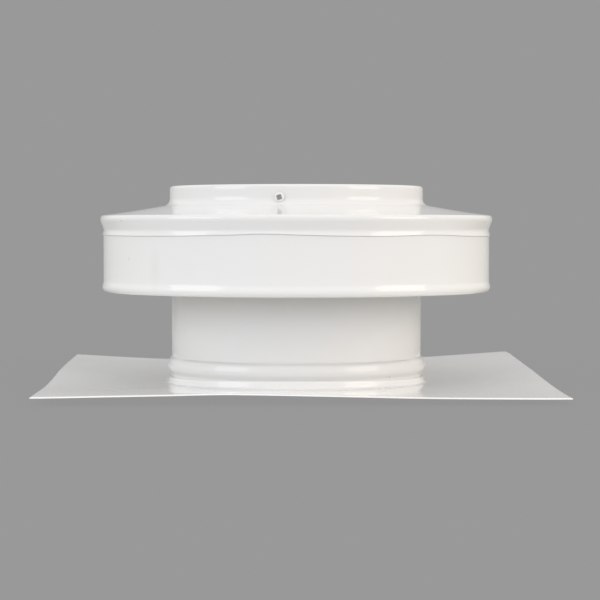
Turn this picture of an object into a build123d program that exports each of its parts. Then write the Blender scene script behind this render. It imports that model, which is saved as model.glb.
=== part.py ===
from build123d import *
from math import acos, asin, cos, degrees, radians, sin, tan
import os

# Static roof vent with a 12 inch collar, spun and folded from aluminium sheet.
# The origin is under the centre of the base, +Z is up and -Y is the front.

# Driving dimensions, in millimetres and degrees
sheet = 0.8
collar_diameter = 304.8
flange_side = 589.0
clear_height = 100.5
band_diameter = 470.3
band_face_height = 68.7
hood_diameter = 477.6
roof_slope = 8.85
drum_height = 23.7

# Foot of the collar: a bead above the flange and a turned-out lip below it grip the edge of the hole
lip_width = 10.6
hole_clearance = 1.4
bead_height = 24.7
bead_depth = 5.3
bead_folds = 3
collar_overlap = 30.0

# Edges of the wind band: a hem curled inwards below, a tapered neck above
hem_radius = 6.7
hem_bulge = 1.35
hem_rise = 14.0
hem_curl = 120.0

# Rim and bends of the hood, whose lip is rolled tight on to the neck of the band
rim_height = 20.1
rim_bend = 3.6
rim_undercut = 17.0
pinch_height = 6.7
pinch_depth = 3.95
throat_bend = 8.0
crown_bend = 3.5

# Straps that carry the hood, each with one screw through the drum
strap_count = 3
strap_width = 25.0
strap_space = 1.4
strap_lap = 25.0
first_bearing = -8.1
screw_drop = 14.2
screw_head_diameter = 11.4
screw_head_height = 2.2
screw_shank_diameter = 4.8
screw_length = 16.0
screw_square = 5.0
screw_square_depth = 1.4
screw_turn = -17.0

# Bird screen, a flat disc of wire cloth lying on the top edge of the collar
screen_thickness = 1.0
screen_pitch = 56.0
screen_web = 4.0

# Radii and heights that follow
collar_radius = collar_diameter / 2
collar_bore = collar_radius - sheet
flange_top = 2 * sheet
band_radius = band_diameter / 2
band_bottom = flange_top + clear_height
lip_edge = band_bottom + band_face_height
collar_top = band_bottom + collar_overlap
rim_radius = hood_diameter / 2
rim_level = lip_edge + rim_height
pinch_radius = rim_radius - pinch_depth
pinch_level = lip_edge + pinch_height
drum_bore = collar_radius + strap_space
drum_radius = drum_bore + sheet
strap_thickness = (drum_bore**2 - strap_width**2 / 4)**0.5 - collar_radius
roof_normal = 90 - roof_slope
rim_crest = rim_bend * cos(radians((roof_normal - rim_undercut) / 2))
rim_centre = (rim_radius - rim_crest, rim_level)
throat_drop = (rim_centre[0] - drum_radius - throat_bend) * tan(radians(roof_slope))
throat_lift = (rim_bend + throat_bend) / cos(radians(roof_slope))
throat_centre = (drum_radius + throat_bend, rim_level + throat_drop + throat_lift)
crown_level = throat_centre[1] - throat_bend + drum_height
crown_centre = (drum_radius - crown_bend, crown_level - crown_bend)
screw_level = crown_level - screw_drop
strap_bearings = [first_bearing + 360 / strap_count * index for index in range(strap_count)]


def bend(centre, radius, start, stop, steps):
    # Points round a bend in the sheet, from one angle to another
    angles = [radians(start + (stop - start) * step / steps) for step in range(steps + 1)]
    return [(centre[0] + radius * cos(angle), centre[1] + radius * sin(angle)) for angle in angles]


def spin(outer, inner):
    # One spun sheet: its outer line from the top to the lower edge, then its inner line back up
    face = make_face(Polyline(*outer, *reversed(inner), close=True))
    return revolve(Plane.XZ * face, Axis.Z)


def radial_rod(radius, start, stop):
    # A round rod through the front of the drum at the level of the screws
    rod = Cylinder(radius, stop - start, align=(Align.CENTER, Align.CENTER, Align.MIN))
    return Pos(0, -start, screw_level) * Rot(90, 0, 0) * rod


def make_flange():
    plate = Box(flange_side, flange_side, sheet, align=(Align.CENTER, Align.CENTER, Align.MIN))
    hole = Cylinder(collar_radius + hole_clearance, 4 * sheet)
    return Pos(0, 0, sheet) * (plate - hole)


def make_collar():
    radius = (bead_height**2 / 4 + bead_depth**2) / (2 * bead_depth)
    centre = (collar_radius + bead_depth - radius, sheet + bead_height / 2)
    turn = degrees(asin(bead_height / 2 / radius))
    lip_radius = collar_radius + lip_width
    outer = [(collar_radius, collar_top)]
    outer += bend(centre, radius, turn, -turn, bead_folds)
    outer += [(lip_radius, sheet), (lip_radius, 0)]
    inner_turn = degrees(acos((collar_bore - centre[0]) / (radius - sheet)))
    inner = [(collar_bore, collar_top)]
    inner += bend(centre, radius - sheet, inner_turn, -inner_turn, bead_folds - 1)
    inner[-1] = (collar_bore, 0)
    return spin(outer, inner)


def make_wind_band():
    centre = (band_radius + hem_bulge - hem_radius, band_bottom + hem_radius * sin(radians(hem_curl / 2)))
    hem_top = band_bottom + hem_rise
    outer = [(pinch_radius - sheet, pinch_level), (band_radius, lip_edge), (band_radius, hem_top)]
    outer += bend(centre, hem_radius, 0, -hem_curl, 2)
    inner = [(point[0] - sheet, point[1]) for point in outer[:3]]
    inner += bend(centre, hem_radius - sheet, 0, -hem_curl, 1)
    return spin(outer, inner)


def make_hood():
    outer = [(0, crown_level)]
    outer += bend(crown_centre, crown_bend, 90, 0, 1)
    outer += bend(throat_centre, throat_bend, 180, 180 + roof_normal, 2)
    outer += bend(rim_centre, rim_bend, roof_normal, -rim_undercut, 2)
    outer += [(pinch_radius, pinch_level), (band_radius + sheet, lip_edge)]
    inner = [(0, crown_level - sheet)]
    inner += bend(crown_centre, crown_bend - sheet, 90, 0, 1)
    inner += bend(throat_centre, throat_bend + sheet, 180, 180 + roof_normal, 2)
    inner += bend(rim_centre, rim_bend - sheet, roof_normal, -rim_undercut, 1)
    inner += [(pinch_radius - sheet, pinch_level), (band_radius, lip_edge)]
    hole = radial_rod(screw_shank_diameter / 2, collar_bore, rim_radius)
    return spin(outer, inner) - [Rot(0, 0, bearing) * hole for bearing in strap_bearings]


def make_strap(bearing):
    # A flat strip: its middle lies on the collar and its two edges on the inside of the drum
    foot = collar_top - strap_lap
    head = crown_level - crown_bend - sheet
    strip = Box(strap_width, strap_thickness, head - foot, align=(Align.CENTER, Align.MAX, Align.MIN))
    hole = radial_rod(screw_shank_diameter / 2, collar_bore, drum_radius)
    return Rot(0, 0, bearing) * (Pos(0, -collar_radius, foot) * strip - hole)


def make_hood_screws():
    # The lower edge of each head bears on the first slope of the throat
    slope = bend(throat_centre, throat_bend, 180, 180 + roof_normal, 2)[1]
    overlap = throat_centre[1] - screw_level + screw_head_diameter / 2
    seat = drum_radius + overlap * (slope[0] - drum_radius) / (throat_centre[1] - slope[1])
    head = radial_rod(screw_head_diameter / 2, seat, seat + screw_head_height)
    shank = radial_rod(screw_shank_diameter / 2, seat - screw_length, seat)
    recess = Box(screw_square, 2 * screw_square_depth, screw_square)
    screw = head + shank - Pos(0, -seat - screw_head_height, screw_level) * Rot(0, screw_turn, 0) * recess
    return Compound(children=[Rot(0, 0, bearing) * screw for bearing in strap_bearings])


def make_bird_screen():
    disc = Cylinder(collar_radius, screen_thickness, align=(Align.CENTER, Align.CENTER, Align.MIN))
    side = screen_pitch - screen_web
    reach = collar_bore - screen_web - side * 0.5**0.5
    count = 2 * int(collar_radius / screen_pitch) + 1
    window = Box(side, side, 4 * screen_thickness)
    grid = GridLocations(screen_pitch, screen_pitch, count, count)
    windows = [place * window for place in grid if place.position.length < reach]
    return Pos(0, 0, collar_top) * (disc - windows)


pieces = {
    "flange": make_flange(),
    "collar": make_collar(),
    "wind_band": make_wind_band(),
    "hood": make_hood(),
    "hood_screws": make_hood_screws(),
    "bird_screen": make_bird_screen(),
}
for index, bearing in enumerate(strap_bearings):
    pieces[f"hood_strap_{index + 1}"] = make_strap(bearing)

os.makedirs("parts", exist_ok=True)
for name, piece in pieces.items():
    export_step(piece, f"parts/{name}.step")
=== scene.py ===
import math
import bpy
import bmesh
import numpy
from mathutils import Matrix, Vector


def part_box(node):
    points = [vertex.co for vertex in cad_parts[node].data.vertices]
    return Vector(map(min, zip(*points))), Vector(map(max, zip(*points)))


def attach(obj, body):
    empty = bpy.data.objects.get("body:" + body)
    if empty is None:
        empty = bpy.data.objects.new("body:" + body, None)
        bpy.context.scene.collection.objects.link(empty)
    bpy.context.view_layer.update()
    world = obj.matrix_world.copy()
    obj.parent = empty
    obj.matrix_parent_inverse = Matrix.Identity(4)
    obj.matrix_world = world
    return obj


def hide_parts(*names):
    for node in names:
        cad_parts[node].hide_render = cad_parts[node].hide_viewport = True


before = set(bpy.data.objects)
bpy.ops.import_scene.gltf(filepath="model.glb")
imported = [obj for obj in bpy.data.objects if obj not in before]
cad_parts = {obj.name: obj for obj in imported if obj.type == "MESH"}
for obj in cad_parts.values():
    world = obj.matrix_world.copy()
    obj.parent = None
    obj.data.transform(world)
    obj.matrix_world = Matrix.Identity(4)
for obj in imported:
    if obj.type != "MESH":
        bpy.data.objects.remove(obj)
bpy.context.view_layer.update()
mm = 0.001
print("frame loaded:", len(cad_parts), "nodes")


def srgb(code):
    # sRGB hex to the linear colour that a socket takes
    parts = [int(code[i:i + 2], 16) / 255 for i in (1, 3, 5)]
    return [c / 12.92 if c <= 0.04045 else ((c + 0.055) / 1.055) ** 2.4 for c in parts] + [1.0]


def addNode(tree, kind, values=None, **settings):
    # one node with its settings; a socket is linked, and a node is linked by its first output
    node = tree.nodes.new(kind)
    for key, value in settings.items():
        setattr(node, key, value)
    for key, value in (values or {}).items():
        if isinstance(value, bpy.types.Node):
            value = value.outputs[0]
        if isinstance(value, bpy.types.NodeSocket):
            tree.links.new(value, node.inputs[key])
        else:
            node.inputs[key].default_value = value
    return node


def newMaterial(name):
    material = bpy.data.materials.new(name)
    material.use_nodes = True
    tree = material.node_tree
    tree.nodes.clear()
    return material, tree


def finishMesh(name, bm, sharpAngle=40):
    # merge doubles, turn faces outwards and shade smooth up to the sharp edges
    bmesh.ops.remove_doubles(bm, verts=bm.verts, dist=1e-7)
    bmesh.ops.recalc_face_normals(bm, faces=bm.faces)
    mesh = bpy.data.meshes.new(name)
    bm.to_mesh(mesh)
    bm.free()
    mesh.shade_smooth()
    mesh.set_sharp_from_angle(angle=math.radians(sharpAngle))
    piece = bpy.data.objects.new(name, mesh)
    bpy.context.scene.collection.objects.link(piece)
    return piece


def arc(centre, radius, start, stop, steps):
    # points of a round bend, angles in degrees
    turns = [math.radians(start + (stop - start) * i / steps) for i in range(steps + 1)]
    return [(centre[0] + radius * math.cos(t), centre[1] + radius * math.sin(t)) for t in turns]


def chain(start, angle, bends):
    # bends of changing radius that flow into each other: (radius, angle at the end, steps)
    points = [start]
    for radius, stop, steps in bends:
        turn = math.radians(angle)
        centre = (points[-1][0] - radius * math.cos(turn), points[-1][1] - radius * math.sin(turn))
        points += arc(centre, radius, angle, stop, steps)[1:]
        angle = stop
    return points


def run(start, stop, steps):
    # points between two ends of a straight stretch, ends left out
    return [(start[0] + (stop[0] - start[0]) * i / steps, start[1] + (stop[1] - start[1]) * i / steps)
            for i in range(1, steps)]


def offsetLine(points, gap):
    # the other face of a sheet, one thickness to the inside of an outer line that runs downwards
    shifted = []
    for i, point in enumerate(points):
        a = points[max(i - 1, 0)]
        b = points[min(i + 1, len(points) - 1)]
        length = math.hypot(b[0] - a[0], b[1] - a[1])
        shifted.append((point[0] + (b[1] - a[1]) / length * gap, point[1] - (b[0] - a[0]) / length * gap))
    return shifted


def wander(stations, place):
    # smooth line through (place, height) stations, closed where the places are bearings from -180 to 180
    last = len(stations) - 1
    for i in range(last):
        (t1, h1), (t2, h2) = stations[i], stations[i + 1]
        if not t1 <= place <= t2:
            continue
        t0, h0 = stations[i - 1] if i > 0 else (stations[last - 1][0] - 360, stations[last - 1][1])
        t3, h3 = stations[i + 2] if i + 2 <= last else (stations[1][0] + 360, stations[1][1])
        share = (place - t1) / (t2 - t1)
        m1 = (h2 - h0) / (t2 - t0) * (t2 - t1)
        m2 = (h3 - h1) / (t3 - t1) * (t2 - t1)
        s2, s3 = share ** 2, share ** 3
        start = (2 * s3 - 3 * s2 + 1) * h1 + (s3 - 2 * s2 + share) * m1
        return start + (3 * s2 - 2 * s3) * h2 + (s3 - s2) * m2
    return 0.0


def spinSheet(name, outer, inner, segments, nudge):
    # turn a sheet's section, in millimetres, round the axis; nudge(bearing, r, z) moves a point
    bm = bmesh.new()
    rings = []
    for radius, level in outer + inner[::-1]:
        ring = []
        for i in range(segments):
            bearing = -180 + 360 * i / segments
            turn = math.radians(bearing)
            r, z = nudge(bearing, radius, level) if radius > 0 else (0, level)
            ring.append(bm.verts.new((r * math.sin(turn) * mm, -r * math.cos(turn) * mm, z * mm)))
        rings.append((radius, ring))
    for (r0, a), (r1, b) in zip(rings, rings[1:] + rings[:1]):
        if r0 == 0 and r1 == 0:
            continue
        for i in range(segments):
            j = (i + 1) % segments
            corners = [a[i], a[j], b[j], b[i]]
            if r0 == 0:
                corners = [a[i], b[j], b[i]]
            if r1 == 0:
                corners = [a[i], a[j], b[i]]
            bm.faces.new(corners)
    return finishMesh(name, bm)


def settle(piece, node):
    # a finished piece rides on the vent and stands for its CAD node, if it has one
    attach(piece, "root")
    if node:
        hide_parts(node)


# White polyester paint, oven-cured on aluminium sheet: a smooth glossy skin that mirrors at low angles
paint = {
    "colour": "#ECEBE9",
    "shade": "#E8E7E4",
    "roughness": 0.05,
    "ior": 1.5,
    "flange": ("#F4F3F1", "#F0EFEC"),   # a touch whiter on the flange: painted light, standing in for more light falling on it
    "cloud": 120.0,       # soft changes of tone, in millimetres
    "peel": 2.5,          # orange peel cell in millimetres, drawn coarser than real
    "peelBump": 0.012,
    "peelDepth": 0.3,     # millimetres
    "paintedShade": "#8E8B86",   # painted shade under the lip and in the crease over the bead
}


def whitePaint(name, stainsAndReflections=(), seam=False, tone=(paint["colour"], paint["shade"])):
    material, tree = newMaterial(name)
    place = addNode(tree, "ShaderNodeTexCoord").outputs["Object"]
    cloud = addNode(tree, "ShaderNodeTexNoise", {
        "Vector": place, "Scale": 1 / (paint["cloud"] * mm), "Detail": 3.0})
    colour = addNode(tree, "ShaderNodeMix", {
        "Factor": cloud.outputs["Fac"], "A": srgb(tone[0]), "B": srgb(tone[1])}, data_type="RGBA")
    for mark in stainsAndReflections:
        # a mark is a ball of colour, stretched upright where it is a streak
        spot = [value * mm for value in mark["at"]]
        away = addNode(tree, "ShaderNodeVectorMath", {0: place, 1: spot}, operation="SUBTRACT")
        stretch = addNode(tree, "ShaderNodeVectorMath", {0: away, 1: mark["squeeze"]}, operation="MULTIPLY")
        gap = addNode(tree, "ShaderNodeVectorMath", {0: stretch}, operation="LENGTH")
        mask = addNode(tree, "ShaderNodeMapRange", {
            "Value": gap.outputs["Value"], "From Min": mark["core"] * mm, "From Max": mark["fade"] * mm,
            "To Min": mark["depth"], "To Max": 0.0})
        colour = addNode(tree, "ShaderNodeMix", {
            "Factor": mask.outputs["Result"], "A": colour.outputs["Result"], "B": srgb(mark["colour"])},
            data_type="RGBA")
    # painted shade along the line that the seam attribute marks
    if seam:
        line = addNode(tree, "ShaderNodeAttribute", attribute_name="seam")
        colour = addNode(tree, "ShaderNodeMix", {
            "Factor": line.outputs["Fac"], "A": colour.outputs["Result"], "B": srgb(paint["paintedShade"])},
            data_type="RGBA")
    peel = addNode(tree, "ShaderNodeTexNoise", {
        "Vector": place, "Scale": 1 / (paint["peel"] * mm), "Detail": 1.0})
    bump = addNode(tree, "ShaderNodeBump", {
        "Height": peel.outputs["Fac"], "Strength": paint["peelBump"], "Distance": paint["peelDepth"] * mm})
    skin = addNode(tree, "ShaderNodeBsdfPrincipled", {
        "Base Color": colour.outputs["Result"], "Roughness": paint["roughness"], "IOR": paint["ior"],
        "Normal": bump.outputs["Normal"]})
    addNode(tree, "ShaderNodeOutputMaterial", {"Surface": skin.outputs["BSDF"]})
    return material


# Marks on the paint, stains and on the band a painted reflection: place, core and fade in millimetres, and how
# deep the mark is
ball = (1, 1, 1)
streak = (1, 1, 0.35)
rimSpecks = [
    {"at": (-205.4, -119.3, 187.5), "squeeze": ball, "core": 0.7, "fade": 1.6,
     "depth": 0.85, "colour": "#5E5A55"},
]
bandSpotAndReflection = [
    # a painted reflection: an upright streak on the band
    {"at": (-164.7, -167.8, 133), "squeeze": streak, "core": 0.5, "fade": 11.0,
     "depth": 0.1, "colour": "#B9B5A8"},
    {"at": (-196.8, -128.7, 143.3), "squeeze": ball, "core": 0.8, "fade": 3.0,
     "depth": 0.18, "colour": "#A8AA9E"},
]
beadSpecks = [
    {"at": (107.3, -111.2, 4.0), "squeeze": ball, "core": 0.5, "fade": 1.4,
     "depth": 0.7, "colour": "#77716A"},
    {"at": (103.5, -114.7, 4.2), "squeeze": ball, "core": 0.3, "fade": 1.2,
     "depth": 0.35, "colour": "#77716A"},
]
hoodPaint = whitePaint("polyesterPaintHood", rimSpecks)
bandPaint = whitePaint("polyesterPaintBand", bandSpotAndReflection, seam=True)
collarPaint = whitePaint("polyesterPaintCollar", beadSpecks, seam=True)
# the flange's paint is a lighter copy of the white paint, painted brighter for the light on it
flangePaint = whitePaint("polyesterPaintFlange", tone=paint["flange"])
print("paints mixed")

# Foot: the flange dips towards the collar, and the edge of its hole is swaged up into a low ring
footShape = {
    # heights over a flat flange, in millimetres: at the sides, in front and behind
    "dip": (-10.5, -9.4, -9.0),
    "crest": (-3.6, 0.5, -2.0),
    "ringRadius": 154.8,
    "ringRun": 2.0,       # how far the ring takes to fall away
}


def footLevel(levels, bearing):
    # a height round the collar, by bearing from the front
    side, front, back = levels
    ahead = math.cos(math.radians(bearing))
    return side + ((front if ahead > 0 else back) - side) * ahead ** 2


# Collar: a spun tube with a full bead at its foot and a lip under the flange
collarShape = {"sheet": 0.8, "bore": 151.6, "segments": 256, "wallSteps": 12, "beadSteps": 48,
               "crease": 20.4, "creaseWidth": 2.0, "creaseShade": 0.13}
# how far the bead stands out of the wall at heights above the flange, in millimetres: (height, reach)
# the bead begins at the second place, and the first only gives it its slope
beadLine = [(-1.6, 0.0), (0.0, 0.1), (1.2, 0.5), (2.6, 1.5), (4.2, 2.8), (5.8, 3.85), (7.4, 4.55), (9.2, 4.9),
            (10.6, 5.0), (12.0, 4.85), (14.0, 4.4), (16.2, 3.7), (18.2, 2.75), (19.6, 1.8), (20.6, 0.8),
            (21.3, -0.1), (22.2, -0.3), (23.8, 0.0), (24.6, 0.0)]
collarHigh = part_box("collar")[1]
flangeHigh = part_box("flange")[1]


def makeCollar():
    s = collarShape
    wall = s["bore"] + s["sheet"]
    foot = flangeHigh[2] / mm
    lip = collarHigh[0] / mm
    top = collarHigh[2] / mm
    low, high = beadLine[1][0], beadLine[-1][0]
    heights = [high + (low - high) * i / s["beadSteps"] for i in range(s["beadSteps"] + 1)]
    outer = [(wall, top)] + run((wall, top), (wall, foot + high), s["wallSteps"])
    outer += [(wall + wander(beadLine, height), foot + height) for height in heights]
    inner = offsetLine(outer, s["sheet"]) + [(s["bore"], 0)]
    inner[0] = (s["bore"], top)
    outer += [(wall, s["sheet"]), (lip, s["sheet"]), (lip, 0)]

    def lowerFoot(bearing, r, z):
        # the lip goes down with the flange that it holds
        return r, z + footLevel(footShape["dip"], bearing) * (z <= s["sheet"])

    piece = spinSheet("collarSheet", outer, inner, s["segments"], lowerFoot)
    # a faint line of painted shade in the crease over the bead
    seam = piece.data.attributes.new("seam", "FLOAT", "POINT")
    for vert in piece.data.vertices:
        gap = (vert.co.z / mm - foot - s["crease"]) / s["creaseWidth"]
        seam.data[vert.index].value = s["creaseShade"] * math.exp(-gap ** 2)
    return piece


collar = makeCollar()
collar.data.materials.append(collarPaint)
settle(collar, "collar")
print("collar spun")

# Wind band: a deep ring, hemmed below, its neck held under the lip of the hood
bandShape = {
    "sheet": 0.8, "segments": 288,
    "hemBulge": 1.35, "hemRise": 14.0, "hemTurn": 6.0, "hemDrop": 0.4,
    "underSlope": 18.0, "curl": 2.4, "curlEnd": -200,
    "neckDepth": 1.1, "neckHeight": 6.7,
    "neckFold": ((0.4, 3.2), (0.0, 2.6)),   # how far inside the wall, at heights over the lip's edge
    "seamZone": 4.0,      # how far below the lip the rows stand close
    "seamDrop": 0.9, "seamShade": 0.4, "seamTop": 2.0,
    "lipFollow": 6.0,     # how far from the lip's edge the rows still follow it
    "seamSteps": 14, "wallSteps": 8, "hemSteps": 8, "turnSteps": 12, "curlSteps": 10,
}
bandLow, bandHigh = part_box("wind_band")
# how far the hand-trimmed lip strays from level, in millimetres, by bearing from the front
lipTrim = [(-180, 0.0), (-120, 0.6), (-78, 0.0), (-45, -0.6), (-20, 0.9), (-11, 2.2), (0, 1.0), (10, 0.0),
           (24, -0.4), (40, 0.7), (58, -0.9), (78, -1.2), (110, 0.3), (150, -0.5), (180, 0.0)]


def makeBand():
    s = bandShape
    bulge = bandHigh[0] / mm
    wall = bulge - s["hemBulge"]
    bottom = bandLow[2] / mm - s["hemDrop"]
    top = bandHigh[2] / mm
    lipEdge = top - s["neckHeight"]
    zoneEnd = (wall, lipEdge - s["seamZone"])
    outer = [(wall - s["neckDepth"], top)]
    outer += [(wall - depth, lipEdge + rise) for depth, rise in s["neckFold"]]
    outer += run(outer[-1], zoneEnd, s["seamSteps"])
    outer += run(zoneEnd, (wall, bottom + s["hemRise"]), s["wallSteps"])
    # the hem swells out, turns in under the edge and curls up inside
    fall = s["hemRise"] - s["hemTurn"]
    for i in range(s["hemSteps"] + 1):
        swell = s["hemBulge"] * (1 - math.cos(math.pi * i / s["hemSteps"])) / 2
        outer.append((wall + swell, bottom + s["hemRise"] - fall * i / s["hemSteps"]))
    turnCentre = (bulge - s["hemTurn"], bottom + s["hemTurn"])
    outer += arc(turnCentre, s["hemTurn"], 0, s["underSlope"] - 90, s["turnSteps"])[1:]
    slope = math.radians(s["underSlope"])
    last = outer[-1]
    drop = last[1] - bottom - s["curl"] * (1 - math.cos(slope))
    foot = (last[0] - drop / math.tan(slope), last[1] - drop)
    outer.append(foot)
    curlCentre = (foot[0] - s["curl"] * math.sin(slope), foot[1] + s["curl"] * math.cos(slope))
    outer += arc(curlCentre, s["curl"], s["underSlope"] - 90, s["curlEnd"], s["curlSteps"])[1:]
    inner = offsetLine(outer, s["sheet"])

    def followLip(bearing, r, z):
        # rows near the seam follow the lip, so that the line of painted shade does
        share = max(0.0, 1 - abs(z - lipEdge) / s["lipFollow"])
        return r, z + share * wander(lipTrim, bearing)

    piece = spinSheet("windBandSheet", outer, inner, s["segments"], followLip)
    # a line of painted shade under the edge of the lip
    seam = piece.data.attributes.new("seam", "FLOAT", "POINT")
    for vert in piece.data.vertices:
        bearing = math.degrees(math.atan2(vert.co.x, -vert.co.y))
        below = (lipEdge + wander(lipTrim, bearing) - vert.co.z / mm) / s["seamDrop"]
        seam.data[vert.index].value = s["seamShade"] * math.exp(-below ** 2) if below > -s["seamTop"] else 0.0
    return piece


band = makeBand()
band.data.materials.append(bandPaint)
settle(band, "wind_band")
print("wind band spun")

# Hood: one spun sheet with a flat top, a drum, a sloping roof, a rolled rim, a pinch and a lip
hoodShape = {
    "sheet": 0.8, "segments": 288,
    "drum": 154.6, "rim": 238.8,
    "crownBend": 3.5, "throatBend": 9.0, "roofSlope": 8.85, "roofSag": 0.6,
    "rimHeight": 18.9, "rimUndercut": 18.5,
    "rimBends": [(2.4, 35, 8), (6.0, 0, 6), (10.0, -18.5, 5)],   # radius, angle at the end, steps
    "pinchHeight": 5.4, "pinchDepth": 3.95, "pinchBend": 7.0,
    "lipFlare": 10, "lipGap": 0.35,
    "topSteps": 6, "crownSteps": 10, "drumSteps": 4, "throatSteps": 14, "roofSteps": 16,
    "pinchSteps": 8, "lipSteps": 4,
}
hoodLow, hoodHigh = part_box("hood")


def makeHood():
    s = hoodShape
    rim, drum = s["rim"], s["drum"]
    crown = hoodHigh[2] / mm
    lipEdge = hoodLow[2] / mm
    normal = 90 - s["roofSlope"]
    # the rim turns tightly at its top and slowly below
    eave = chain((0, 0), normal, s["rimBends"])
    widest = max(eave)
    eave = [(r - widest[0] + rim, z - widest[1] + lipEdge + s["rimHeight"]) for r, z in eave]
    tilt = math.radians(s["roofSlope"])
    throatRadius = drum + s["throatBend"]
    footRadius = throatRadius - s["throatBend"] * math.sin(tilt)
    throatLevel = eave[0][1] + (eave[0][0] - footRadius) * math.tan(tilt) + s["throatBend"] * math.cos(tilt)
    crownCentre = (drum - s["crownBend"], crown - s["crownBend"])
    pinch = (rim - s["pinchDepth"], lipEdge + s["pinchHeight"])
    lip = bandHigh[0] / mm - bandShape["hemBulge"] + s["sheet"] + s["lipGap"]
    outer = [(0, crown)] + run((0, crown), (drum - s["crownBend"], crown), s["topSteps"])
    outer += arc(crownCentre, s["crownBend"], 90, 0, s["crownSteps"])
    outer += run((drum, crownCentre[1]), (drum, throatLevel), s["drumSteps"])
    outer += arc((throatRadius, throatLevel), s["throatBend"], 180, 180 + normal, s["throatSteps"])
    # the roof sags a little between the drum and the rim
    roof = run(outer[-1], eave[0], s["roofSteps"])
    for i, (r, z) in enumerate(roof):
        outer.append((r, z - s["roofSag"] * math.sin(math.pi * (i + 1) / s["roofSteps"])))
    outer += eave
    pinchCentre = (pinch[0] + s["pinchBend"], pinch[1])
    pinchArc = arc(pinchCentre, s["pinchBend"], 180 - s["rimUndercut"], 180 + s["lipFlare"], s["pinchSteps"])
    outer += run(eave[-1], pinchArc[0], s["lipSteps"]) + pinchArc
    outer += run(pinchArc[-1], (lip, lipEdge), s["lipSteps"]) + [(lip, lipEdge)]
    inner = offsetLine(outer, s["sheet"])
    inner[0] = (0, crown - s["sheet"])

    def trimLip(bearing, r, z):
        # the lip was trimmed by hand, so its edge strays a little
        share = max(0.0, min(1.0, (pinch[1] - z) / s["pinchHeight"]))
        return r, z + share * wander(lipTrim, bearing)

    return spinSheet("hoodSheet", outer, inner, s["segments"], trimLip)


hood = makeHood()
hood.data.materials.append(hoodPaint)
settle(hood, "hood")
print("hood spun")

# Flange: a square sheet with sheared edges, bent by handling, so it lies uneven
flangeShape = {
    "sheet": 0.8, "hole": 152.6, "angles": 256, "steps": 30, "heldPoints": 24,
    "ringSteps": (0, 0.5, 1, 1.5, 2, 2.5, 3, 3.6, 4.3, 5.2, 6.5, 8.5, 11, 14),   # rows over the ring
    "edgeRoll": 2.4, "edgeDrop": 0.7,
    "edgeTurn": ((0.5, 0.2), (0.15, 0.6), (0.0, 1.0)),   # share of the roll left, share of the drop
}
# height over a flat sheet, in millimetres, at places round the free edge: (x, y, height)
flangeEdge = [(-294, -294, -5.0), (-218, -294, -3.8), (-136, -294, -2.4), (-88, -294, -1.5), (-45, -294, -2.0),
              (-6, -294, -2.8), (74, -294, -4.6), (124, -294, -5.8), (216, -294, -6.8), (294, -294, -7.0),
              (294, -194, -6.2), (294, -85, -3.2), (294, 26, 0.8), (294, 156, 4.6), (294, 276, 7.6),
              (294, 294, 7.4), (179, 294, -0.3), (0, 294, -2.5), (-164, 294, -2.6), (-294, 294, 4.2),
              (-294, 159, 2.7), (-294, 47, 0.3), (-294, -37, -3.4), (-294, -128, -5.9), (-294, -249, -5.1)]


def springSheet(stations):
    # a thin springy plate through all the stations; gives its height at any (x, y)
    span = 100            # lengths are in units of 100 mm, to keep the numbers near one
    data = numpy.array(stations, float)
    spots, heights = data[:, :2] / span, data[:, 2]
    count = len(spots)

    def stiffness(a):
        gap = numpy.hypot(a[:, None, 0] - spots[None, :, 0], a[:, None, 1] - spots[None, :, 1])
        return gap ** 2 * numpy.log(numpy.maximum(gap, 1e-9))

    plane = numpy.column_stack([numpy.ones(count), spots])
    system = numpy.block([[stiffness(spots), plane], [plane.T, numpy.zeros((3, 3))]])
    weights = numpy.linalg.solve(system, numpy.concatenate([heights, numpy.zeros(3)]))

    def height(x, y):
        here = numpy.array([[x, y]]) / span
        return float((stiffness(here) @ weights[:count])[0] + weights[count] + here[0] @ weights[count + 1:])

    return height


def makeFlange():
    s = flangeShape
    half = flangeHigh[0] / mm
    top = flangeHigh[2] / mm
    held = []
    for i in range(s["heldPoints"]):
        bearing = 360 / s["heldPoints"] * i
        turn = math.radians(bearing)
        dip = footLevel(footShape["dip"], bearing)
        held.append((s["hole"] * math.sin(turn), -s["hole"] * math.cos(turn), dip))
    height = springSheet(flangeEdge + held)
    # close rows over the ring, then shares of the way to the edge, with close ones for the rolled-over shear
    near = s["hole"] + s["ringSteps"][-1]
    rings = [(k / s["steps"] * (1 - s["edgeRoll"] / half), 0.0) for k in range(1, s["steps"] + 1)]
    rings += [(1 - left * s["edgeRoll"] / half, rolled) for left, rolled in s["edgeTurn"]]
    bm = bmesh.new()
    upper, lower = [], []
    for i in range(s["angles"]):
        bearing = -180 + 360 * i / s["angles"]
        x, y = math.sin(math.radians(bearing)), -math.cos(math.radians(bearing))
        reach = half / max(abs(x), abs(y))
        crest = footLevel(footShape["crest"], bearing) - footLevel(footShape["dip"], bearing)
        radii = [(s["hole"] + step, 0.0) for step in s["ringSteps"]]
        radii += [(near + (reach - near) * way, rolled) for way, rolled in rings]
        upper.append([])
        lower.append([])
        for r, rolled in radii:
            past = max(0.0, r - footShape["ringRadius"]) / footShape["ringRun"]
            z = top + height(r * x, r * y) + crest * math.exp(-past ** 2) - s["edgeDrop"] * rolled
            upper[-1].append(bm.verts.new((r * x * mm, r * y * mm, z * mm)))
            lower[-1].append(bm.verts.new((r * x * mm, r * y * mm, (z - s["sheet"]) * mm)))
    last = len(radii) - 1
    for i in range(s["angles"]):
        j = (i + 1) % s["angles"]
        for k in range(last):
            for grid in (upper, lower):
                bm.faces.new([grid[i][k], grid[i][k + 1], grid[j][k + 1], grid[j][k]])
        for k in (0, last):
            bm.faces.new([upper[i][k], upper[j][k], lower[j][k], lower[i][k]])
    return finishMesh("flangeSheet", bm)


flange = makeFlange()
flange.data.materials.append(flangePaint)
settle(flange, "flange")
print("flange bent")

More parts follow.
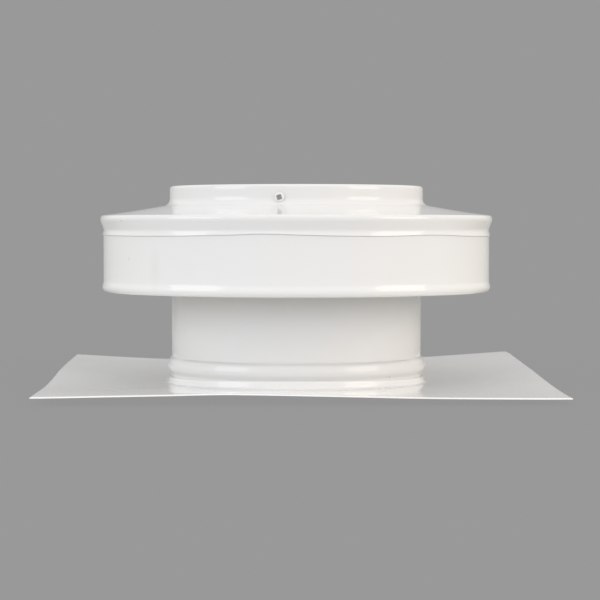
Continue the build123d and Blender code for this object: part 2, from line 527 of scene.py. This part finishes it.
# Bare metals: grey, with faint lines along their length from the mill or the die
metals = {
    "aluminium": "#CFD0D1", "aluminiumRoughness": 0.36, "aluminiumStretch": (1, 1, 0.04),
    "steel": "#B4B3B1", "steelRoughness": 0.45, "steelStretch": (1, 1, 1),
    "wire": "#C6C7C8", "wireRoughness": 0.32, "wireStretch": (0.3, 0.3, 1),
    "rollLine": 0.6,      # spacing of the lines, in millimetres
    "rollBump": 0.15,
    "rollDepth": 0.1,     # millimetres
    "swing": 0.08,        # how far the roughness strays
}


def bareMetal(name, metal):
    material, tree = newMaterial(name)
    roughness = metals[metal + "Roughness"]
    place = addNode(tree, "ShaderNodeTexCoord").outputs["Object"]
    lines = addNode(tree, "ShaderNodeMapping", {"Vector": place, "Scale": metals[metal + "Stretch"]})
    grain = addNode(tree, "ShaderNodeTexNoise", {
        "Vector": lines.outputs["Vector"], "Scale": 1 / (metals["rollLine"] * mm), "Detail": 2.0})
    rough = addNode(tree, "ShaderNodeMapRange", {
        "Value": grain.outputs["Fac"], "To Min": roughness - metals["swing"],
        "To Max": roughness + metals["swing"]})
    bump = addNode(tree, "ShaderNodeBump", {
        "Height": grain.outputs["Fac"], "Strength": metals["rollBump"], "Distance": metals["rollDepth"] * mm})
    skin = addNode(tree, "ShaderNodeBsdfPrincipled", {
        "Base Color": srgb(metals[metal]), "Metallic": 1.0, "Roughness": rough.outputs["Result"],
        "Normal": bump.outputs["Normal"]})
    addNode(tree, "ShaderNodeOutputMaterial", {"Surface": skin.outputs["BSDF"]})
    return material


# Mill-finish aluminium: soft grey, with rolling lines along the strap
millAluminium = bareMetal("millAluminium", "aluminium")
# Zinc-plated steel in the drive of a screw, where the paint has not reached: dull grey
zincSteel = bareMetal("zincPlatedSteel", "steel")
# Drawn aluminium wire, welded into cloth: brighter than the strap
aluminiumWire = bareMetal("drawnAluminiumWire", "wire")
screwPaint = whitePaint("polyesterPaintScrews")

# Straps that carry the hood: the CAD strips, in bare aluminium
strapNodes = sorted(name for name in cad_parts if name.startswith("hood_strap"))
for name in strapNodes:
    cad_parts[name].data.materials.clear()
    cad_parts[name].data.materials.append(millAluminium)
print("straps finished:", len(strapNodes))


def newTree(name, sockets):
    # a geometry tree with named inputs
    tree = bpy.data.node_groups.new(name, "GeometryNodeTree")
    tree.interface.new_socket(name="Geometry", in_out="OUTPUT", socket_type="NodeSocketGeometry")
    for label, kind in sockets.items():
        tree.interface.new_socket(name=label, in_out="INPUT", socket_type="NodeSocket" + kind)
    return tree, addNode(tree, "NodeGroupInput").outputs


def bakeTree(name, tree, values):
    # run a tree on an empty mesh and keep the result as a plain mesh
    piece = bpy.data.objects.new(name, bpy.data.meshes.new(name))
    bpy.context.scene.collection.objects.link(piece)
    modifier = piece.modifiers.new("tree", "NODES")
    modifier.node_group = tree
    for item in tree.interface.items_tree:
        if item.in_out == "INPUT":
            modifier[item.identifier] = values[item.name]
    shot = piece.evaluated_get(bpy.context.evaluated_depsgraph_get())
    mesh = bpy.data.meshes.new_from_object(shot)
    piece.modifiers.remove(modifier)
    piece.data = mesh
    return piece


def fastenerTree():
    # rows of one fastener at equal bearings round the vent, each turned its own way after the first
    tree, given = newTree("fastenersOnStraps", {
        "Blank": "Object", "Count": "Int", "Rows": "Int", "First Bearing": "Float", "Radius": "Float",
        "Level": "Float", "Row Step": "Float", "First Turn": "Float", "Least Turn": "Float",
        "Most Turn": "Float", "Seed": "Int", "Skin": "Material", "Core": "Material"})
    index = addNode(tree, "GeometryNodeInputIndex")
    rowsPast = addNode(tree, "ShaderNodeMath", {0: index, 1: given["Rows"]}, operation="DIVIDE")
    column = addNode(tree, "ShaderNodeMath", {0: rowsPast}, operation="FLOOR")
    row = addNode(tree, "ShaderNodeMath", {0: index, 1: given["Rows"]}, operation="MODULO")
    turns = addNode(tree, "ShaderNodeMath", {0: column, 1: 2 * math.pi}, operation="MULTIPLY")
    onwards = addNode(tree, "ShaderNodeMath", {0: turns, 1: given["Count"]}, operation="DIVIDE")
    bearing = addNode(tree, "ShaderNodeMath", {0: given["First Bearing"], 1: onwards}, operation="ADD")
    sine = addNode(tree, "ShaderNodeMath", {0: bearing}, operation="SINE")
    cosine = addNode(tree, "ShaderNodeMath", {0: bearing}, operation="COSINE")
    forwards = addNode(tree, "ShaderNodeMath", {0: given["Radius"], 1: -1.0}, operation="MULTIPLY")
    x = addNode(tree, "ShaderNodeMath", {0: sine, 1: given["Radius"]}, operation="MULTIPLY")
    y = addNode(tree, "ShaderNodeMath", {0: cosine, 1: forwards}, operation="MULTIPLY")
    rise = addNode(tree, "ShaderNodeMath", {0: row, 1: given["Row Step"]}, operation="MULTIPLY")
    z = addNode(tree, "ShaderNodeMath", {0: given["Level"], 1: rise}, operation="ADD")
    spot = addNode(tree, "ShaderNodeCombineXYZ", {0: x, 1: y, 2: z})
    total = addNode(tree, "ShaderNodeMath", {0: given["Count"], 1: given["Rows"]}, operation="MULTIPLY")
    points = addNode(tree, "GeometryNodePoints", {"Count": total, "Position": spot})
    chance = addNode(tree, "FunctionNodeRandomValue", {
        "Min": given["Least Turn"], "Max": given["Most Turn"], "ID": index, "Seed": given["Seed"]})
    drawn = [socket for socket in chance.outputs if socket.enabled][0]
    isOther = addNode(tree, "ShaderNodeMath", {0: index, 1: 1.0}, operation="MINIMUM")
    extra = addNode(tree, "ShaderNodeMath", {0: isOther, 1: drawn}, operation="MULTIPLY")
    roll = addNode(tree, "ShaderNodeMath", {0: given["First Turn"], 1: extra}, operation="ADD")
    turn = addNode(tree, "ShaderNodeCombineXYZ", {1: roll, 2: bearing})
    facing = addNode(tree, "FunctionNodeEulerToRotation", {0: turn})
    blank = addNode(tree, "GeometryNodeObjectInfo", {"Object": given["Blank"], "As Instance": True})
    placed = addNode(tree, "GeometryNodeInstanceOnPoints", {
        "Points": points, "Instance": blank.outputs["Geometry"], "Rotation": facing})
    real = addNode(tree, "GeometryNodeRealizeInstances", {0: placed})
    skin = addNode(tree, "GeometryNodeSetMaterial", {"Geometry": real, "Material": given["Skin"]})
    core = addNode(tree, "GeometryNodeInputNamedAttribute", {"Name": "core"}, data_type="BOOLEAN")
    bare = addNode(tree, "GeometryNodeSetMaterial", {
        "Geometry": skin, "Selection": core, "Material": given["Core"]})
    addNode(tree, "NodeGroupOutput", {0: bare})
    return tree


def turnBlank(name, profile, corners, coreFrom):
    # a fastener facing the front, from rings (radius, height, squareness); rings past coreFrom are its core
    bm = bmesh.new()
    rings = []
    for radius, height, square in profile:
        ring = []
        for i in range(corners):
            turn = 2 * math.pi * i / corners
            c, d = math.cos(turn), math.sin(turn)
            reach = radius * (1 + square * (1 / max(abs(c), abs(d)) - 1))
            ring.append(bm.verts.new((reach * c * mm, -height * mm, reach * d * mm)))
        rings.append(ring)
    isCore = bm.faces.layers.bool.new("core")
    for k in range(len(rings) - 1):
        for i in range(corners):
            j = (i + 1) % corners
            face = bm.faces.new([rings[k][i], rings[k][j], rings[k + 1][j], rings[k + 1][i]])
            face[isCore] = k >= coreFrom
    bm.faces.new(rings[0])
    bm.faces.new(rings[-1])[isCore] = True
    return finishMesh(name, bm, sharpAngle=50)


# Screws: pan heads with a square drive, painted with the hood, the drive left bare
screwShape = {
    "head": 5.7, "rise": 1.8, "shank": 2.3, "length": 15.0, "corners": 48,
    "tip": 0.6, "tipStart": 1.0, "tipEnd": 3.0,
    "dome": ((1.0, 0.0), (1.0, 0.5), (0.96, 1.05), (0.86, 1.5), (0.7, 1.76)),   # share of the head, height
    "square": 2.7, "drive": 0.5, "driveTaper": 0.94,
    "driveEdge": (0.25, 0.15),     # how wide and how deep the edge of the drive is
    "driveFloor": (0.4, 0.05),     # share of the square, how much deeper
    "seat": 156.0, "level": 214.5, "firstBearing": -8.4, "turn": -17.0,
    "otherTurns": (0.3, 1.4),      # least and most that the others are turned on, in radians
    "seed": 4,
}
# Rivets: two domed blind rivets hold each strap to the collar
rivetShape = {
    "head": 4.2, "rise": 1.3, "corners": 32,
    "dome": ((1.0, -0.05), (1.0, 0.2), (0.93, 0.55), (0.75, 0.95), (0.5, 1.2)),
    "pin": 1.3, "pinTaper": 0.95, "dip": 0.5,
    "face": 153.29, "level": 113.0, "rows": 2, "step": 12.0,
}


def makeScrewBlank():
    s = screwShape
    edge, bevel = s["driveEdge"]
    floorShare, dish = s["driveFloor"]
    bottom = s["rise"] - s["drive"]
    profile = [(s["tip"], s["tipStart"] - s["length"], 0), (s["shank"], s["tipEnd"] - s["length"], 0),
               (s["shank"], 0, 0)]
    profile += [(s["head"] * share, height, 0) for share, height in s["dome"]]
    drive = [(s["square"] + edge, s["rise"], 1), (s["square"], s["rise"] - bevel, 1),
             (s["square"] * s["driveTaper"], bottom, 1), (s["square"] * floorShare, bottom - dish, 1)]
    return turnBlank("screwBlank", profile + drive, s["corners"], len(profile))


def makeRivetBlank():
    s = rivetShape
    profile = [(s["head"] * share, height, 0) for share, height in s["dome"]]
    pin = [(s["pin"], s["rise"], 0), (s["pin"] * s["pinTaper"], s["rise"] - s["dip"], 0)]
    return turnBlank("rivetBlank", profile + pin, s["corners"], len(profile))


def makeFasteners():
    tree = fastenerTree()
    s, r = screwShape, rivetShape
    screw = makeScrewBlank()
    rivet = makeRivetBlank()
    least, most = s["otherTurns"]
    shared = {"Count": len(strapNodes), "First Bearing": math.radians(s["firstBearing"]),
              "Least Turn": least, "Most Turn": most, "Seed": s["seed"], "Core": zincSteel}
    screws = bakeTree("hoodScrewSet", tree, dict(shared, **{
        "Blank": screw, "Rows": 1, "Radius": s["seat"] * mm, "Level": s["level"] * mm, "Row Step": 0.0,
        "First Turn": math.radians(s["turn"]), "Skin": screwPaint}))
    rivets = bakeTree("strapRivetSet", tree, dict(shared, **{
        "Blank": rivet, "Rows": r["rows"], "Radius": r["face"] * mm, "Level": r["level"] * mm,
        "Row Step": r["step"] * mm, "First Turn": 0.0, "Skin": millAluminium}))
    for blank in (screw, rivet):
        bpy.data.objects.remove(blank)
    return screws, rivets


hoodScrews, strapRivets = makeFasteners()
settle(hoodScrews, "hood_screws")
settle(strapRivets, None)
print("fasteners placed")

# Bird screen: welded wire cloth laid on the top edge of the collar
screenShape = {"pitch": 6.35, "wire": 0.8, "sides": 6, "inset": 0.3,
               "lap": 0.85}   # how far the second layer lies over the first, in wires, as it is welded in
screenLow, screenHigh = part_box("bird_screen")


def wireTree():
    # two layers of straight wires, each cut to the round of the collar
    tree, given = newTree("wireCloth", {
        "Radius": "Float", "Pitch": "Float", "Wire": "Float", "Lap": "Float", "Level": "Float", "Sides": "Int",
        "Metal": "Material"})
    pitches = addNode(tree, "ShaderNodeMath", {0: given["Radius"], 1: given["Pitch"]}, operation="DIVIDE")
    side = addNode(tree, "ShaderNodeMath", {0: pitches}, operation="FLOOR")
    twoSides = addNode(tree, "ShaderNodeMath", {0: side, 1: 2.0}, operation="MULTIPLY")
    count = addNode(tree, "ShaderNodeMath", {0: twoSides, 1: 1.0}, operation="ADD")
    index = addNode(tree, "GeometryNodeInputIndex")
    fromMiddle = addNode(tree, "ShaderNodeMath", {0: index, 1: side}, operation="SUBTRACT")
    aside = addNode(tree, "ShaderNodeMath", {0: fromMiddle, 1: given["Pitch"]}, operation="MULTIPLY")
    wholeSquare = addNode(tree, "ShaderNodeMath", {0: given["Radius"], 1: 2.0}, operation="POWER")
    asideSquare = addNode(tree, "ShaderNodeMath", {0: aside, 1: aside}, operation="MULTIPLY")
    chordSquare = addNode(tree, "ShaderNodeMath", {0: wholeSquare, 1: asideSquare}, operation="SUBTRACT")
    chord = addNode(tree, "ShaderNodeMath", {0: chordSquare}, operation="SQRT")
    spot = addNode(tree, "ShaderNodeCombineXYZ", {1: aside})
    points = addNode(tree, "GeometryNodePoints", {"Count": count, "Position": spot})
    line = addNode(tree, "GeometryNodeCurvePrimitiveLine", {"Start": (-1, 0, 0), "End": (1, 0, 0)})
    reach = addNode(tree, "ShaderNodeCombineXYZ", {0: chord, 1: 1.0, 2: 1.0})
    placed = addNode(tree, "GeometryNodeInstanceOnPoints", {
        "Points": points, "Instance": line, "Scale": reach})
    lines = addNode(tree, "GeometryNodeRealizeInstances", {0: placed})
    thick = addNode(tree, "ShaderNodeMath", {0: given["Wire"], 1: 0.5}, operation="MULTIPLY")
    section = addNode(tree, "GeometryNodeCurvePrimitiveCircle", {
        "Resolution": given["Sides"], "Radius": thick})
    wires = addNode(tree, "GeometryNodeCurveToMesh", {
        "Curve": lines, "Profile Curve": section, "Fill Caps": True})
    lap = addNode(tree, "ShaderNodeMath", {0: given["Wire"], 1: given["Lap"]}, operation="MULTIPLY")
    over = addNode(tree, "ShaderNodeCombineXYZ", {2: lap})
    crossed = addNode(tree, "GeometryNodeTransform", {
        "Geometry": wires, "Translation": over, "Rotation": (0, 0, math.pi / 2)})
    both = addNode(tree, "GeometryNodeJoinGeometry", {0: wires})
    tree.links.new(crossed.outputs[0], both.inputs[0])
    lift = addNode(tree, "ShaderNodeCombineXYZ", {2: given["Level"]})
    laid = addNode(tree, "GeometryNodeTransform", {"Geometry": both, "Translation": lift})
    real = addNode(tree, "GeometryNodeRealizeInstances", {0: laid})
    metal = addNode(tree, "GeometryNodeSetMaterial", {"Geometry": real, "Material": given["Metal"]})
    addNode(tree, "NodeGroupOutput", {0: metal})
    return tree


birdScreen = bakeTree("birdScreenCloth", wireTree(), {
    "Radius": screenHigh[0] - screenShape["inset"] * mm, "Pitch": screenShape["pitch"] * mm,
    "Wire": screenShape["wire"] * mm, "Lap": screenShape["lap"],
    "Level": screenLow[2] + screenShape["wire"] / 2 * mm, "Sides": screenShape["sides"],
    "Metal": aluminiumWire})
settle(birdScreen, "bird_screen")
print("wire cloth laid:", len(birdScreen.data.polygons), "faces")

# Floor, backdrop and light
stage = {
    "grey": "#999999",              # backdrop
    "paper": "#E4E4E2",             # matt floor
    "floorGlow": "#959595",         # evens out the floor for the eye and for gloss
    "evenFloor": 0.97,              # share of that glow; the rest keeps the shadow
    "floor": -13.5,                 # millimetres
    "floorReach": 1.4,              # metres
    "floorFade": (0.45, 1.3),       # metres from the middle, where the floor fades into the backdrop
    "mirrorGrey": "#A9A9A9",        # backdrop as gloss mirrors it
    "mirrorAhead": (0.75, 0.97),    # it comes in as a ray points straight behind or before
    "mirrorRise": (0.22, 0.6),      # and goes out as a ray points up
    "fill": 0.93,                   # soft light from above the horizon
    "low": 0.05,                    # share of it from below
    "dawn": (-0.3, 0.3),            # where the one goes over into the other
}


def makeWorld():
    world = bpy.data.worlds.new("studio")
    bpy.context.scene.world = world
    world.use_nodes = True
    tree = world.node_tree
    tree.nodes.clear()
    path = addNode(tree, "ShaderNodeLightPath")
    way = addNode(tree, "ShaderNodeTexCoord").outputs["Generated"]
    look = addNode(tree, "ShaderNodeSeparateXYZ", {0: way})
    # the grey backdrop stands behind and before the vent, and gloss mirrors it from there
    ahead = addNode(tree, "ShaderNodeMath", {0: look.outputs["Y"]}, operation="ABSOLUTE")
    behind = addNode(tree, "ShaderNodeMapRange", {
        "Value": ahead, "From Min": stage["mirrorAhead"][0], "From Max": stage["mirrorAhead"][1]},
        interpolation_type="SMOOTHSTEP")
    under = addNode(tree, "ShaderNodeMapRange", {
        "Value": look.outputs["Z"], "From Min": stage["mirrorRise"][0], "From Max": stage["mirrorRise"][1],
        "To Min": 1.0, "To Max": 0.0}, interpolation_type="SMOOTHSTEP")
    zone = addNode(tree, "ShaderNodeMath", {0: behind, 1: under}, operation="MULTIPLY")
    gloss = addNode(tree, "ShaderNodeMath", {
        0: path.outputs["Is Glossy Ray"], 1: path.outputs["Is Transmission Ray"]}, operation="MAXIMUM")
    mirrored = addNode(tree, "ShaderNodeMath", {0: gloss, 1: zone}, operation="MULTIPLY")
    # even light from all round the room above the horizon, and little from below
    risen = addNode(tree, "ShaderNodeMapRange", {
        "Value": look.outputs["Z"], "From Min": stage["dawn"][0], "From Max": stage["dawn"][1],
        "To Min": stage["low"], "To Max": 1.0}, interpolation_type="SMOOTHSTEP")
    fill = addNode(tree, "ShaderNodeMath", {0: risen, 1: stage["fill"]}, operation="MULTIPLY")
    room = addNode(tree, "ShaderNodeMix", {
        "Factor": mirrored, "A": fill, "B": srgb(stage["mirrorGrey"])}, data_type="RGBA")
    colour = addNode(tree, "ShaderNodeMix", {
        "Factor": path.outputs["Is Camera Ray"], "A": room.outputs["Result"], "B": srgb(stage["grey"])},
        data_type="RGBA")
    sky = addNode(tree, "ShaderNodeBackground", {"Color": colour.outputs["Result"], "Strength": 1.0})
    addNode(tree, "ShaderNodeOutputWorld", {"Surface": sky})


def makeFloor():
    bm = bmesh.new()
    bmesh.ops.create_circle(bm, cap_ends=True, segments=96, radius=stage["floorReach"])
    for vert in bm.verts:
        vert.co.z = stage["floor"] * mm
    floor = finishMesh("studioFloor", bm)
    material, tree = newMaterial("floorPaper")
    place = addNode(tree, "ShaderNodeTexCoord").outputs["Object"]
    reach = addNode(tree, "ShaderNodeVectorMath", {0: place}, operation="LENGTH")
    fade = addNode(tree, "ShaderNodeMapRange", {
        "Value": reach.outputs["Value"], "From Min": stage["floorFade"][0], "From Max": stage["floorFade"][1]},
        interpolation_type="SMOOTHSTEP")
    path = addNode(tree, "ShaderNodeLightPath")
    seen = addNode(tree, "ShaderNodeMath", {
        0: path.outputs["Is Camera Ray"], 1: path.outputs["Is Glossy Ray"]}, operation="MAXIMUM")
    even = addNode(tree, "ShaderNodeMath", {0: seen, 1: stage["evenFloor"]}, operation="MULTIPLY")
    matt = addNode(tree, "ShaderNodeBsdfDiffuse", {"Color": srgb(stage["paper"])})
    glow = addNode(tree, "ShaderNodeEmission", {"Color": srgb(stage["floorGlow"]), "Strength": 1.0})
    paper = addNode(tree, "ShaderNodeMixShader", {0: even, 1: matt, 2: glow})
    clear = addNode(tree, "ShaderNodeBsdfTransparent")
    mix = addNode(tree, "ShaderNodeMixShader", {0: fade, 1: paper, 2: clear})
    addNode(tree, "ShaderNodeOutputMaterial", {"Surface": mix})
    floor.data.materials.append(material)


# Softboxes, aimed at the middle of the vent; the front one is kept out of the gloss
lampAim = (0, 0, 0.1)
lamps = {
    "frontSoftbox": {"place": (0, -2.8, 0.75), "size": (3.0, 1.0), "power": 13,
                     "colour": "#D9E3FF", "mirrored": False},
    "leftSoftbox": {"place": (-2.4, -1.3, 1.0), "size": (1.6, 1.4), "power": 15,
                    "colour": "#FBFFFF", "mirrored": True},
    "rightSoftbox": {"place": (2.4, -1.3, 1.0), "size": (1.6, 1.4), "power": 20.5,
                     "colour": "#FFEDD6", "mirrored": True},
}


def addLamp(name):
    s = lamps[name]
    lamp = bpy.data.lights.new(name, "AREA")
    lamp.shape = "RECTANGLE"
    lamp.size, lamp.size_y = s["size"]
    lamp.energy = s["power"]
    lamp.color = srgb(s["colour"])[:3]
    holder = bpy.data.objects.new(name, lamp)
    holder.visible_glossy = s["mirrored"]
    bpy.context.scene.collection.objects.link(holder)
    holder.location = s["place"]
    gap = [a - b for a, b in zip(lampAim, s["place"])]
    flat = math.hypot(gap[0], gap[1])
    holder.rotation_euler = (math.atan2(flat, -gap[2]), 0, math.atan2(-gap[0], gap[1]))


makeWorld()
makeFloor()
for name in lamps:
    addLamp(name)
print("stage lit")

# Camera at the photograph's place: low, level with the wind band
view = {"distance": 2.489, "eye": 0.1828, "bearing": -1.2, "pitch": 2.12, "aside": 0.104, "lens": 121.86}
camera = bpy.data.objects.new("camera", bpy.data.cameras.new("camera"))
bpy.context.scene.collection.objects.link(camera)
bearing = math.radians(view["bearing"])
camera.location = (view["distance"] * math.sin(bearing), -view["distance"] * math.cos(bearing), view["eye"])
camera.rotation_euler = (math.radians(90 - view["pitch"]), 0, bearing - math.radians(view["aside"]))
camera.data.lens = view["lens"]
camera.data.sensor_width = 36
camera.data.clip_end = 50
bpy.context.scene.camera = camera
bpy.context.scene.view_settings.view_transform = "Standard"
